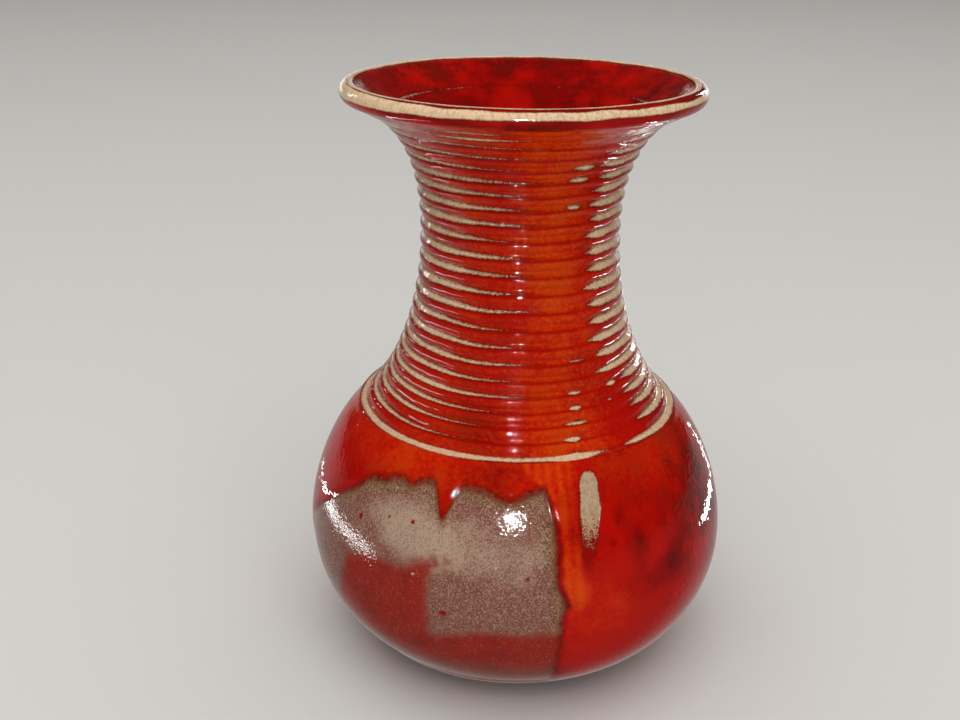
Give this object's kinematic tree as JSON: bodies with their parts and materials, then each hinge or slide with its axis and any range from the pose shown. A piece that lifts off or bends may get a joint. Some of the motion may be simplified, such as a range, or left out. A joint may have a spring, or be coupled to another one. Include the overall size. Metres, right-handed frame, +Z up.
{
  "type": "vase",
  "caption": "Wheel-thrown stoneware vase with a round belly, a ribbed waist, a flared rolled lip and a red glaze over a speckled grey-brown one; it holds stems in water.",
  "frame": {"origin": "centre of the foot ring on the surface the vase stands on", "axes": "+Z up through the mouth along the throwing axis; -Y is the side with the bare window and the run of glaze; +X to the right when that side is faced"},
  "size_m": [0.1104, 0.1099, 0.15],
  "materials": {
    "stoneware": "bare fired clay, matt",
    "speckled_glaze": "satin with fine pale specks",
    "red_glaze": "glossy, mottled orange, breaking to cream on edges",
    "run_glaze": "thick and glossy, orange",
    "pale_glaze": "glossy, thin over the clay",
    "liner_glaze": "glossy deep red"
  },
  "bodies": {
    "root": {"stoneware_body": "stoneware", "base_glaze": "speckled_glaze", "belly_glaze": "red_glaze", "neck_glaze": "red_glaze", "glaze_run": "run_glaze", "lip_glaze": "pale_glaze", "liner_glaze": "liner_glaze"}
  },
  "joints": []
}
